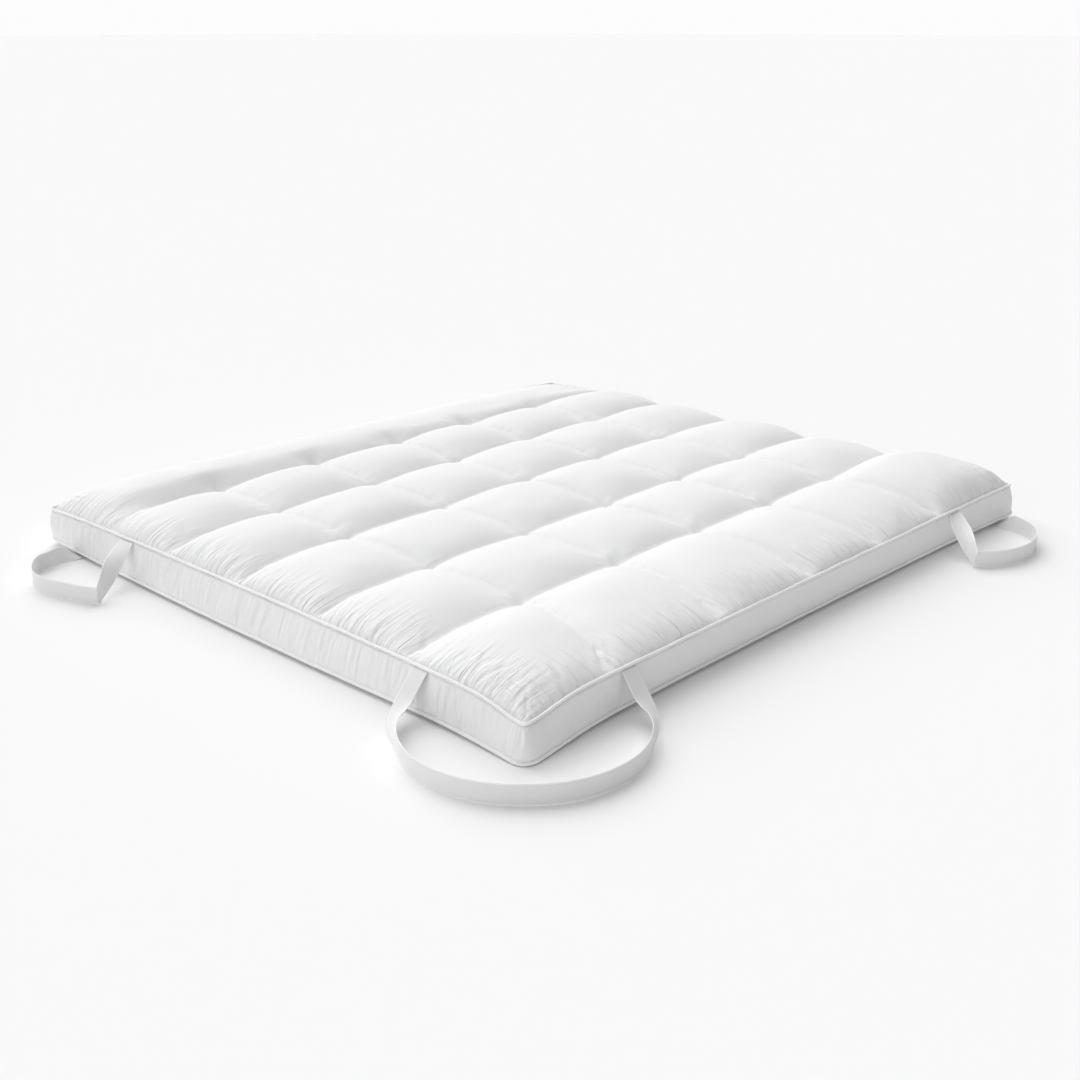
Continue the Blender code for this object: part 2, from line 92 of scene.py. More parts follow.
def noise(x, y, seed):
    """Smooth noise from -1 to 1, whose lumps are one unit apart."""
    size = NOISE_TABLE_SIZE
    table = np.random.default_rng(seed).uniform(-1, 1, (size, size))
    cell_x, cell_y = np.floor(x).astype(int), np.floor(y).astype(int)
    part_x, part_y = x - cell_x, y - cell_y
    part_x = part_x * part_x * (3 - 2 * part_x)
    part_y = part_y * part_y * (3 - 2 * part_y)
    low = table[cell_x % size, cell_y % size] * (1 - part_x)
    low = low + table[(cell_x + 1) % size, cell_y % size] * part_x
    high = table[cell_x % size, (cell_y + 1) % size] * (1 - part_x)
    high = high + table[(cell_x + 1) % size, (cell_y + 1) % size] * part_x
    return low * (1 - part_y) + high * part_y


def noise_along(value, spacing, seed):
    """The same noise along one line, with lumps this far apart."""
    return noise(value / spacing, value * 0, seed)


def creases(x, y, seed, sharpness=2.2):
    """Round ridges with sharp creases between them, from 0 to 1, about one unit apart."""
    return np.minimum(np.abs(noise(x, y, seed)) * sharpness, 1.0)


def smooth_step(low, high, value):
    share = np.clip((value - low) / (high - low), 0, 1)
    return share * share * (3 - 2 * share)


# The plan: a rectangle with round corners and sides that are drawn in or bowed out.

def corner_distance(x, y, side_x, side_y):
    return np.hypot(x - side_x * HALF[0], y - side_y * HALF[1])


def top_droop(x, y):
    return sum(
        droop * np.exp(-((corner_distance(x, y, sx, sy) / DROOP_REACH) ** 2))
        for sx, sy, droop, _, _ in CORNERS
    )


def base_lift(x, y):
    """How far the edge of the base is drawn up off the surface."""
    lift = SIDE_LIFT
    for sx, sy, _, corner_lift, _ in CORNERS:
        nearness = np.maximum(0.0, 1 - corner_distance(x, y, sx, sy) / LIFT_REACH) ** 2
        lift = lift + (corner_lift - SIDE_LIFT) * nearness
    return lift


def base_flare(x, y):
    return sum(
        flare * np.exp(-((corner_distance(x, y, sx, sy) / FLARE_REACH) ** 2))
        for sx, sy, _, _, flare in CORNERS
    )


def top_seam_height(x, y):
    return TOP_SEAM_HEIGHT - top_droop(x, y)


def side_bow(value, low, high, depth, towards_side, along_side):
    """How far out a point is moved: most at the middle of its side, not at all inland."""
    top = np.where(value < 0, low[0], high[0])
    base = np.where(value < 0, low[1], high[1])
    bow = top + (base - top) * depth
    return bow * towards_side ** BOW_POWER * (1 - np.minimum(along_side, 1) ** 2)


def plan_point(x, y, depth, inset):
    """From the plain rectangle's outline to the topper's; depth runs from 0 at the top seam
    to 1 at the base."""
    radius = TOP_RADIUS + (BASE_RADIUS - TOP_RADIUS) * depth
    half_x, half_y = HALF[0] - inset, HALF[1] - inset
    px, py = x * half_x / HALF[0], y * half_y / HALF[1]
    round_x = np.maximum(np.abs(px) - (half_x - radius), 0.0)
    round_y = np.maximum(np.abs(py) - (half_y - radius), 0.0)
    at_corner = (round_x > 0) & (round_y > 0)
    scale = np.where(at_corner, radius / np.maximum(np.hypot(round_x, round_y), TINY), 1.0)
    px = np.where(at_corner, np.copysign(half_x - radius + round_x * scale, px), px)
    py = np.where(at_corner, np.copysign(half_y - radius + round_y * scale, py), py)
    share_x, share_y = np.abs(px / half_x), np.abs(py / half_y)
    bow_x = side_bow(px, BOWS_LOW_X, BOWS_HIGH_X, depth, share_x, share_y)
    bow_y = side_bow(py, BOWS_LOW_Y, BOWS_HIGH_Y, depth, share_y, share_x)
    flare = depth * base_flare(x, y)
    return px + np.copysign(1, px) * (flare + bow_x), py + np.copysign(1, py) * (flare + bow_y)


def outline(spacing):
    """Points round the plain rectangle, with their distance along it."""
    count_x, count_y = round(LENGTH / spacing), round(WIDTH / spacing)
    steps_x = np.linspace(-HALF[0], HALF[0], count_x + 1)
    steps_y = np.linspace(-HALF[1], HALF[1], count_y + 1)
    x = np.concatenate([
        steps_x[:-1], np.full(count_y, HALF[0]), steps_x[:0:-1], np.full(count_y, -HALF[0])])
    y = np.concatenate([
        np.full(count_x, -HALF[1]), steps_y[:-1], np.full(count_x, HALF[1]), steps_y[:0:-1]])
    step = np.hypot(np.diff(x, append=x[0]), np.diff(y, append=y[0]))
    return x, y, np.concatenate([[0.0], np.cumsum(step)[:-1]])


# Building meshes.

WELD_DISTANCE = 1e-6


def vert_places(bm):
    return np.array([vert.co for vert in bm.verts], float)


def place_verts(verts, places):
    for vert, place in zip(verts, places):
        vert.co = place


def finish_piece(bm, name, material):
    bmesh.ops.recalc_face_normals(bm, faces=bm.faces)
    mesh = bpy.data.meshes.new(name)
    bm.to_mesh(mesh)
    bm.free()
    mesh.shade_smooth()
    mesh.materials.append(material)
    piece = bpy.data.objects.new(name, mesh)
    bpy.context.scene.collection.objects.link(piece)
    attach(piece, "root")
    return piece


def grid_mesh(bm, places, closed):
    """Faces over a table of points (row, column, 3); closed joins the last row to the first."""
    rows, columns, _ = places.shape
    verts = [[bm.verts.new(place) for place in row] for row in places]
    for row in range(rows if closed else rows - 1):
        here, there = verts[row], verts[(row + 1) % rows]
        for column in range(columns - 1):
            bm.faces.new((here[column], there[column], there[column + 1], here[column + 1]))


def add_thickness(piece, thickness, offset):
    solidify = piece.modifiers.new("Thickness", "SOLIDIFY")
    solidify.thickness = thickness
    solidify.offset = offset
    solidify.use_even_offset = True


# Materials.

WAVES_PER_UNIT = 20  # of a band texture, at a scale of 1
SHEEN_ROUGHNESS = 0.5
CLOTH_SPECULAR = 0.25
TINT_NOISE = {"Scale": 9.0, "Detail": 3.0, "Roughness": 0.6}
TINT_RANGE = (0.3, 0.7)
TINT_DARKER = 0.985
CRUMPLE_NOISE = {"Detail": 3.0, "Roughness": 0.55}
GATHER_NOISE = {"Scale": 1.0, "Detail": 2.0, "Roughness": 0.5, "Distortion": 0.4}

CLOTHS = {
    # name, colour, roughness, threads (axis and width), thread depth, crumple width and
    # depth, sheen
    "quilted": (
        "quilted_cotton", (0.875, 0.878, 0.878), 0.75,
        (("X", 0.0009), ("Y", 0.0009)), 0.00003, 0.012, 0.0007, 0.12),
    "band": (
        "band_cotton", (0.908, 0.91, 0.91), 0.8,
        (("X", 0.0009), ("Y", 0.0009), ("Z", 0.0009)), 0.00003, 0.015, 0.0004, 0.08),
    "base": (
        "base_cotton", (0.85, 0.852, 0.85), 0.85,
        (("X", 0.0011), ("Y", 0.0011)), 0.00004, 0.02, 0.0005, 0.05),
    "piping": (
        "piping_cotton", (0.95, 0.952, 0.952), 0.7,
        (("DIAGONAL", 0.0009),), 0.00003, 0.006, 0.0002, 0.1),
    # The rim cloth is lighter than the elastic: a painted highlight on the rolled rims, where they
    # catch the light.
    "rim": (
        "elastic_rim_painted_highlight", (0.96, 0.962, 0.96), 0.7,
        (("Z", 0.0012),), 0.00003, 0.004, 0.0001, 0.05),
    "elastic": (
        "woven_elastic", (0.85, 0.852, 0.85), 0.7,
        (("Z", 0.0012),), 0.00005, 0.004, 0.0001, 0.05),
}

# Creases in relief: the axis they run along and how far out that axis its sides lie, the
# other axis, then their spacing, length, reach in from the side, and height.
TOP_GATHERS = (
    (("X", HALF[0]), "Y", 0.018, 0.16, 0.18, 0.012),
    (("Y", HALF[1]), "X", 0.018, 0.16, 0.16, 0.014),
)
BAND_GATHERS = (
    (("X", HALF[0]), "Y", 0.018, 0.22, 0.05, 0.007),
)


def node(tree, kind, **settings):
    """A shader node, with its sockets or else its properties set by name."""
    made = tree.nodes.new(kind)
    for key, value in settings.items():
        if key in made.inputs:
            made.inputs[key].default_value = value
        else:
            setattr(made, key, value)
    return made


def math_node(tree, operation, *values):
    made = node(tree, "ShaderNodeMath", operation=operation)
    for socket, value in zip(made.inputs, values):
        if isinstance(value, float):
            socket.default_value = value
        else:
            tree.links.new(value, socket)
    return made.outputs["Value"]


def object_place(tree):
    return node(tree, "ShaderNodeTexCoord").outputs["Object"]


def add_relief(tree, height, distance):
    """Lay one more relief over the ones that the shader already has."""
    normal = tree.nodes["Principled BSDF"].inputs["Normal"]
    bump = node(tree, "ShaderNodeBump", Strength=1.0, Distance=distance)
    tree.links.new(height, bump.inputs["Height"])
    if normal.is_linked:
        tree.links.new(normal.links[0].from_socket, bump.inputs["Normal"])
    tree.links.new(bump.outputs["Normal"], normal)


def weave_height(tree, place, across, thread):
    """Threads that run one way: a soft ridge for each."""
    wave = node(tree, "ShaderNodeTexWave", wave_type="BANDS", bands_direction=across)
    wave.inputs["Scale"].default_value = 1 / (thread * WAVES_PER_UNIT)
    wave.inputs["Distortion"].default_value = 0.0
    tree.links.new(place, wave.inputs["Vector"])
    return wave.outputs["Fac"]


def add_tint(tree, place, colour):
    """The cloth's colour, a very little darker in patches."""
    tint = node(tree, "ShaderNodeTexNoise", **TINT_NOISE)
    tree.links.new(place, tint.inputs["Vector"])
    ramp = node(tree, "ShaderNodeValToRGB")
    darker = [channel * TINT_DARKER for channel in colour]
    for stop, position, shade in zip(ramp.color_ramp.elements, TINT_RANGE, (darker, colour)):
        stop.position = position
        stop.color = (*shade, 1)
    tree.links.new(tint.outputs["Fac"], ramp.inputs["Fac"])
    tree.links.new(ramp.outputs["Color"], tree.nodes["Principled BSDF"].inputs["Base Color"])


def cloth_material(name, colour, roughness, threads, thread_depth, crumple, crumple_depth, sheen):
    """Woven cloth: threads along these axes, and a fine crumple."""
    material = bpy.data.materials.new(name)
    material.use_nodes = True
    tree = material.node_tree
    shader = tree.nodes["Principled BSDF"]
    shader.inputs["Roughness"].default_value = roughness
    shader.inputs["Sheen Weight"].default_value = sheen
    shader.inputs["Sheen Roughness"].default_value = SHEEN_ROUGHNESS
    shader.inputs["Specular IOR Level"].default_value = CLOTH_SPECULAR
    place = object_place(tree)
    add_tint(tree, place, colour)
    for axis, size in threads:
        add_relief(tree, weave_height(tree, place, axis, size), thread_depth)
    rough = node(tree, "ShaderNodeTexNoise", Scale=1 / crumple, **CRUMPLE_NOISE)
    tree.links.new(place, rough.inputs["Vector"])
    add_relief(tree, rough.outputs["Fac"], crumple_depth)
    return material


def side_fade(tree, to_side, reach):
    """1 at a side, and 0 from this far in."""
    fade = node(tree, "ShaderNodeMapRange", interpolation_type="SMOOTHSTEP")
    tree.links.new(to_side, fade.inputs["Value"])
    fade.inputs["From Min"].default_value = 0.0
    fade.inputs["From Max"].default_value = reach
    fade.inputs["To Min"].default_value = 1.0
    fade.inputs["To Max"].default_value = 0.0
    return fade.outputs["Result"]


def gather_ridges(tree, along, to_side, height, spacing, length):
    """Ridges side by side along a side, each drawn out away from it."""
    drawn_out = node(tree, "ShaderNodeCombineXYZ")
    for axis, distance, size in (
        ("X", along, spacing), ("Y", to_side, length), ("Z", height, length),
    ):
        tree.links.new(math_node(tree, "DIVIDE", distance, size), drawn_out.inputs[axis])
    lumps = node(tree, "ShaderNodeTexNoise", **GATHER_NOISE)
    tree.links.new(drawn_out.outputs["Vector"], lumps.inputs["Vector"])
    return math_node(tree, "ABSOLUTE", math_node(tree, "SUBTRACT", lumps.outputs["Fac"], 0.5))


def add_gathers(material, gathers):
    """Fine creases that run in from the sides, as relief of the cloth."""
    tree = material.node_tree
    parts = node(tree, "ShaderNodeSeparateXYZ")
    tree.links.new(object_place(tree), parts.inputs["Vector"])
    for (axis, half), other, spacing, length, reach, height in gathers:
        off_middle = math_node(tree, "ABSOLUTE", parts.outputs[axis])
        to_side = math_node(tree, "SUBTRACT", half, off_middle)
        ridges = gather_ridges(
            tree, parts.outputs[other], to_side, parts.outputs["Z"], spacing, length)
        faded = math_node(tree, "MULTIPLY", ridges, side_fade(tree, to_side, reach))
        add_relief(tree, faded, height)


def make_materials():
    materials = {key: cloth_material(*cloth) for key, cloth in CLOTHS.items()}
    add_gathers(materials["quilted"], TOP_GATHERS)
    add_gathers(materials["band"], BAND_GATHERS)
    return materials


# The filled and quilted body.

GRID_STEPS_PER_POCKET = 36
FINE_BORDER = {"low_x": 0.085, "low_y": 0.085, "high_x": 0.012, "high_y": 0.012}
FINE_CUTS = 2
POCKET_POWER = 3.0
SHOULDER_POWER = 8.0
EDGE_RISE_POWER = 3.1
ROLL_PINCH = 0.25
ROLL_POWER = 6.0
POCKET_CROWN = 0.022
RIGHT_CORNER_CROWN = 0.048
ROLL_CROWN_LEFT_END = 0.036
ROLL_CROWN_FAR_END = 0.002
COLUMN_SEAM_RISE = 0.014
ROW_SEAM_RISE = 0.005
STITCH_GROOVE = (0.0030, 0.007)  # depth, half width
SEAM_BEND = (0.10, -0.75, 0.456)  # how far, where along the length, reach
SEAM_BEND_POWER = 1.5
LAST_SEAM_FADE = (0.30, 0.95)
LAST_SEAM_FADE_REACH = 0.07
LAST_SEAM_FILL = 0.8
POCKET_SEED = 11
POCKET_LEAN = (-0.10, 0.10)
POCKET_FULLNESS = (0.90, 1.10)
SHOULDER_DEPTH = 0.012
SHOULDER_LEVEL = 0.09  # how far down it lies, from 0 at the top seam to 1 at the base
RIM_INSET = PIPING_RADIUS
WALL_MARGIN = 0.0015
WALL_INSET = CLOTH_THICKNESS + WALL_MARGIN
FOOT_INSET = 0.0056
FOOT_HEIGHT = 0.0095
EDGE_FADE_POWER = 12


def seam_lines(seams, length):
    return np.array([-length / 2, *(seam - length / 2 for seam in seams), length / 2])


LINES_X = seam_lines(SEAMS_ALONG_LENGTH, LENGTH)
LINES_Y = seam_lines(SEAMS_ALONG_WIDTH, WIDTH)


def cell_of(value, lines):
    return np.clip(np.searchsorted(lines, value, side="right") - 1, 0, len(lines) - 2)


def across_cell(value, lines):
    """-1 and 1 on the cell's two seams, 0 in its middle."""
    cell = cell_of(value, lines)
    return 2 * (value - lines[cell]) / (lines[cell + 1] - lines[cell]) - 1


def pocket_bulge(value, lines, lean, last_power=POCKET_POWER):
    """0 on a seam and 1 in the middle of a pocket; fuller towards the topper's edge."""
    cell = cell_of(value, lines)
    across = across_cell(value, lines)
    across = across + lean * (1 - across ** 2)
    last = cell == len(lines) - 2
    outer = ((cell == 0) & (across < 0)) | (last & (across > 0))
    power = np.where(outer, SHOULDER_POWER, np.where(last, last_power, POCKET_POWER))
    return 1 - np.abs(across) ** power


def edge_rise(value, lines):
    share = np.minimum(
        (value - lines[0]) / (lines[1] - lines[0]),
        (lines[-1] - value) / (lines[-1] - lines[-2]))
    return 1 - (1 - np.clip(share, 0, 1)) ** EDGE_RISE_POWER


def seam_distance(value, lines):
    """Distance to the nearest stitched line, leaving out the topper's own edges."""
    return np.min(np.abs(value[:, None] - lines[None, 1:-1]), axis=1)


SIDES_APART = (10, 20)  # so that no two sides have the same noise


def side_distance(x, y):
    """Distance to the nearest side, and the position along that side."""
    to_x, to_y = HALF[0] - np.abs(x), HALF[1] - np.abs(y)
    apart_x, apart_y = SIDES_APART
    along = np.where(to_x < to_y, y + apart_x * np.sign(x), x + apart_y * np.sign(y))
    return np.minimum(to_x, to_y), along


def unbent(x, y):
    """Positions along the length, as if no stitched line bent towards the near corner."""
    share = np.clip((LINES_Y[1] - y) / (LINES_Y[1] - LINES_Y[0]), 0, 1) ** SEAM_BEND_POWER
    amount, place, reach = SEAM_BEND
    nearness = np.exp(-(((x - place) / reach) ** 2)) * smooth_step(-HALF[0], place, x)
    return x + amount * share * nearness


def last_seam_fade(x, y):
    """1 where the last seam along the width dies out, in the first column; else 0."""
    into_side = (LINES_X[1] - x) / (LINES_X[1] - LINES_X[0])
    off = (y - LINES_Y[-2]) / LAST_SEAM_FADE_REACH
    return smooth_step(*LAST_SEAM_FADE, into_side) * np.exp(-(off ** 2))


def uneven_pockets(x, y):
    """How far each pocket leans along x and along y, and how full it is."""
    rng = np.random.default_rng(POCKET_SEED)
    count = (len(LINES_X) - 1, len(LINES_Y) - 1)
    cell_x, cell_y = cell_of(x, LINES_X), cell_of(y, LINES_Y)
    lean_x, lean_y = rng.uniform(*POCKET_LEAN, (2, *count))[:, cell_x, cell_y]
    return lean_x, lean_y, rng.uniform(*POCKET_FULLNESS, count)[cell_x, cell_y]


def quilt_bulge(x, y, in_roll, lean_x, lean_y):
    """Along x and along y: 0 on a seam, 1 in the middle of a pocket or of the roll."""
    into_end = np.clip(np.maximum(
        (LINES_X[1] - x) / (LINES_X[1] - LINES_X[0]),
        (x - LINES_X[-2]) / (LINES_X[-1] - LINES_X[-2])), 0, 1)
    bulge_x = pocket_bulge(x, LINES_X, lean_x)
    bulge_x = bulge_x * (1 - in_roll) + (1 - into_end ** SHOULDER_POWER) * in_roll
    bulge_y = pocket_bulge(y, LINES_Y, lean_y, last_power=ROLL_POWER)
    bulge_y = bulge_y + np.maximum(LAST_SEAM_FILL - bulge_y, 0) * last_seam_fade(x, y)
    return bulge_x, bulge_y


def quilt_crown(x, y, in_roll, fullness):
    """How high the middle of a pocket or of the roll stands over its seams."""
    along = x / LENGTH + 0.5
    roll_crown = ROLL_CROWN_LEFT_END + (ROLL_CROWN_FAR_END - ROLL_CROWN_LEFT_END) * along
    crown = POCKET_CROWN * fullness
    crown = np.where((x > LINES_X[-2]) & (y < LINES_Y[1]), RIGHT_CORNER_CROWN, crown)
    return crown + (roll_crown - crown) * in_roll


def quilt_form(x, y):
    """The height of the smooth quilted form."""
    rise = edge_rise(x, LINES_X) * edge_rise(y, LINES_Y)
    rim = top_seam_height(x, y)
    x = unbent(x, y)
    in_roll = smooth_step(0, ROLL_PINCH, (y - LINES_Y[-2]) / (LINES_Y[-1] - LINES_Y[-2]))
    lean_x, lean_y, fullness = uneven_pockets(x, y)
    bulge_x, bulge_y = quilt_bulge(x, y, in_roll, lean_x, lean_y)
    column_rise = COLUMN_SEAM_RISE * (1 - across_cell(y, LINES_Y) ** 2)
    row_rise = ROW_SEAM_RISE * (1 - across_cell(x, LINES_X) ** 2)
    row_rise = row_rise + (ROW_SEAM_RISE - row_rise) * in_roll
    seam = rim + (QUILT_SEAM_HEIGHT - rim) * rise + (column_rise + row_rise) * rise
    return seam + quilt_crown(x, y, in_roll, fullness) * bulge_x * bulge_y


# Relief of the quilted top. A fade is a distance over which something starts or ends. Each
# seed is that of one noise.

SEAM_SIDE_FADE = 0.03
SEAM_ROLL_FADE = 0.03


def stitch_groove(x, y):
    depth, width = STITCH_GROOVE
    off_x, off_y = seam_distance(unbent(x, y), LINES_X), seam_distance(y, LINES_Y)
    in_roll = smooth_step(0.0, SEAM_ROLL_FADE, y - LINES_Y[-2])
    groove_x = np.exp(-off_x / width) * (1 - in_roll)
    groove = np.maximum(groove_x, np.exp(-off_y / width) * (1 - last_seam_fade(x, y)))
    to_side, _ = side_distance(x, y)
    return -depth * groove * smooth_step(0.0, SEAM_SIDE_FADE, to_side)


GATHER_HEIGHT = 0.0040
GATHER_LEAN = (0.5, 0.11)  # how much at most, and over what distance it varies
GATHER_REACH = (0.035, 0.030, 0.035)  # least, half of what is added, varies over
GATHER_FADE = 0.008
GATHER_PATCHES = (-0.4, 0.7, 0.13)  # noise of the weakest and strongest, varies over
WIDE_GATHERS = (0.024, 0.16, 3.0)  # spacing, length, sharpness
NARROW_GATHERS = (0.012, 0.10)
NARROW_SHARE = 0.4


def edge_gathers(x, y):
    """Creases that run in from the piping, each of its own length."""
    to_side, along = side_distance(x, y)
    lean, lean_spacing = GATHER_LEAN
    place = along + lean * noise_along(along, lean_spacing, seed=21) * to_side
    least, added, reach_spacing = GATHER_REACH
    reach = least + added * (1 + noise_along(place, reach_spacing, seed=22))
    fade = np.minimum(to_side / GATHER_FADE, 1.0) * np.exp(-to_side / reach)
    weakest, strongest, patch_spacing = GATHER_PATCHES
    patches = smooth_step(weakest, strongest, noise_along(place, patch_spacing, seed=23))
    spacing, length, sharpness = WIDE_GATHERS
    wide = creases(place / spacing, to_side / length, 24, sharpness)
    spacing, length = NARROW_GATHERS
    narrow = creases(place / spacing, to_side / length, 25)
    return GATHER_HEIGHT * (0.5 + 0.5 * patches) * fade * (wide + NARROW_SHARE * narrow - 1.0)


# The deepest folds over the two near edges: from and to, as distances from the near
# corner along the length and the width, and how deep.
FOLDS = (
    ((0.32, 0.115), (0.25, 0.02), 0.0020),
    ((0.32, 0.080), (0.26, 0.00), 0.0018),
    ((0.17, 0.120), (0.13, 0.02), 0.0024),
    ((0.11, 0.200), (0.05, 0.18), 0.0020),
    ((0.07, 0.090), (0.01, 0.075), 0.0016),
    ((0.12, 0.400), (0.02, 0.33), 0.0022),
)
FOLD_HALF_WIDTH = 0.007
FOLD_LIP = (0.5, 0.013)  # how high, as a share of the depth, and how far to the side
FOLD_STARTS = (-0.15, 0.35)  # shares of its length over which a fold deepens
FOLD_ENDS = (0.85, 1.15)


def deep_folds(x, y):
    """A groove along each fold, with a rounded lip beside it."""
    total = 0
    lip, lip_place = FOLD_LIP
    for start, end, depth in FOLDS:
        ahead_x, ahead_y = end[0] - start[0], end[1] - start[1]
        length = math.hypot(ahead_x, ahead_y)
        from_x, from_y = x + HALF[0] - start[0], y + HALF[1] - start[1]
        share = (from_x * ahead_x + from_y * ahead_y) / length ** 2
        off = (from_x * ahead_y - from_y * ahead_x) / length
        taper = smooth_step(*FOLD_STARTS, share) * (1 - smooth_step(*FOLD_ENDS, share))
        groove = np.exp(-((off / FOLD_HALF_WIDTH) ** 2))
        beside = np.exp(-(((off - lip_place) / FOLD_HALF_WIDTH) ** 2))
        total = total + depth * taper * (lip * beside - groove)
    return total


CREVICE = (0.0035, 0.005)  # depth, reach


def piping_crevice(x, y):
    """The sunk line where the top meets the piping."""
    to_side, _ = side_distance(x, y)
    depth, reach = CREVICE
    return -depth * np.exp(-((to_side / reach) ** 2))


CREASE_LEVEL = 0.6  # the height of a crease's ridge that is neither raised nor sunk
SEAM_GATHER_HEIGHT = 0.0042
SEAM_GATHER_REACH = (0.016, 0.012, 0.04)  # least, half of what is added, varies over
SEAM_GATHER_FADE = 0.006
SEAM_GATHER_SIZE = (0.017, 0.12)  # spacing, length
SEAM_GATHER_WAVER = (0.3, 0.03, 0.05)  # how much, varies over: across, along
SEAM_GATHER_ROLL_FADE = 0.05
NEAR_CROSSING = (0.25, 0.09)  # the strength far from a crossing, and how far one reaches


def gathers_of_seams(off, along, to_crossing, seed):
    """Short creases across the stitched lines of one direction."""
    least, added, reach_spacing = SEAM_GATHER_REACH
    reach = least + added * (1 + noise_along(along, reach_spacing, seed + 5))
    far, crossing_reach = NEAR_CROSSING
    near_crossing = far + (1 - far) * np.exp(-((to_crossing / crossing_reach) ** 2))
    fade = np.minimum(off / SEAM_GATHER_FADE, 1.0) * np.exp(-off / reach) * near_crossing
    waver, waver_across, waver_along = SEAM_GATHER_WAVER
    shift = waver * noise(off / waver_across, along / waver_along, seed)
    spacing, length = SEAM_GATHER_SIZE
    ridges = creases(along / spacing + shift, off / length, seed)
    return SEAM_GATHER_HEIGHT * fade * (ridges - CREASE_LEVEL)


def seam_gathers(x, y):
    """Creases across the stitched lines, strongest near where they cross."""
    off_x, off_y = seam_distance(unbent(x, y), LINES_X), seam_distance(y, LINES_Y)
    in_roll = smooth_step(0.0, SEAM_GATHER_ROLL_FADE, y - LINES_Y[-2])
    along_width = gathers_of_seams(off_x, y, off_y, seed=31) * (1 - in_roll)
    return along_width + gathers_of_seams(off_y, x, off_x, seed=32)


PUCKER_SEED = 41
PUCKER_STRENGTH = (0.5, 1.3)
PUCKER_TURN = (0, 60)  # each crossing's own place in the noise
PUCKER_CREASES = (0.0090, 1.7, 0.012, 0.034)  # height, how many, fade, reach
PUCKER_DIP = (0.0075, 0.019)  # depth, reach


def crossing_puckers(x, y):
    """Creases that radiate from each crossing of two stitched lines."""
    total = 0
    rng = np.random.default_rng(PUCKER_SEED)
    height, count, start, reach = PUCKER_CREASES
    dip, dip_reach = PUCKER_DIP
    for line_x in LINES_X[1:-1]:
        for line_y in LINES_Y[1:-1]:
            strength, turn = rng.uniform(*PUCKER_STRENGTH), rng.uniform(*PUCKER_TURN)
            off_x, off_y = x - line_x, y - line_y
            near = np.hypot(off_x, off_y)
            angle = np.arctan2(off_y, off_x)
            ridges = creases(turn + count * np.cos(angle), turn + count * np.sin(angle), 42)
            fade = np.minimum(near / start, 1.0) * np.exp(-near / reach)
            total = total + height * strength * fade * (ridges - CREASE_LEVEL)
            total = total - dip * strength * np.exp(-((near / dip_reach) ** 2))
    return total


LUMP_SIDE_FADE = 0.06
LUMPS = (
    # height, spacing, seed
    (0.0022, 0.13, 51),
    (0.0009, 0.05, 52),
)


def filling_lumps(x, y):
    """The uneven filling under the cloth."""
    to_side, _ = side_distance(x, y)
    lumps = sum(height * noise(x / size, y / size, seed) for height, size, seed in LUMPS)
    return smooth_step(0.0, LUMP_SIDE_FADE, to_side) * lumps


def quilt_height(x, y):
    height = quilt_form(x, y) + stitch_groove(x, y) + filling_lumps(x, y)
    height = height + edge_gathers(x, y) + deep_folds(x, y) + piping_crevice(x, y)
    return height + seam_gathers(x, y) + crossing_puckers(x, y)


def quilt_plan(x, y):
    share = np.maximum(np.abs(x) / HALF[0], np.abs(y) / HALF[1])
    safe = np.maximum(share, TINY)
    edge_x, edge_y = x / safe, y / safe
    moved_x, moved_y = plan_point(edge_x, edge_y, 0.0, RIM_INSET)
    fade = share ** EDGE_FADE_POWER
    return x + (moved_x - edge_x) * fade, y + (moved_y - edge_y) * fade


def pocket_grid(lines):
    parts = [
        np.linspace(low, high, GRID_STEPS_PER_POCKET, endpoint=False)
        for low, high in zip(lines, lines[1:])
    ]
    return np.concatenate([*parts, lines[-1:]])


def in_fine_border(edge):
    middle = (edge.verts[0].co + edge.verts[1].co) / 2
    return (
        middle.x < -HALF[0] + FINE_BORDER["low_x"] or middle.x > HALF[0] - FINE_BORDER["high_x"]
        or middle.y < -HALF[1] + FINE_BORDER["low_y"] or middle.y > HALF[1] - FINE_BORDER["high_y"]
    )


def close_body(bm):
    """Rings of vertices that carry the flat grid's rim down behind the band and under the
    filling, each with the places that they go to."""
    ring = [edge for edge in bm.edges if edge.is_boundary]
    underside = CLOTH_THICKNESS + CLEARANCE
    levels = (
        # depth, inset, height
        (SHOULDER_LEVEL, WALL_INSET, lambda x, y: top_seam_height(x, y) - SHOULDER_DEPTH),
        (1.0, WALL_INSET, lambda x, y: base_lift(x, y) + FOOT_HEIGHT),
        (1.0, FOOT_INSET, lambda x, y: base_lift(x, y) + underside),
        (1.0, LIFT_REACH, lambda x, y: x * 0 + underside),
    )
    rings = []
    for depth, inset, height in levels:
        made = bmesh.ops.extrude_edge_only(bm, edges=ring)["geom"]
        ring = [item for item in made if isinstance(item, bmesh.types.BMEdge)]
        verts = [item for item in made if isinstance(item, bmesh.types.BMVert)]
        x, y, _ = np.array([vert.co for vert in verts], float).T
        x, y = plan_point(x, y, depth, inset)
        rings.append((verts, np.column_stack([x, y, height(x, y)])))
    bmesh.ops.contextual_create(bm, geom=ring)
    return rings


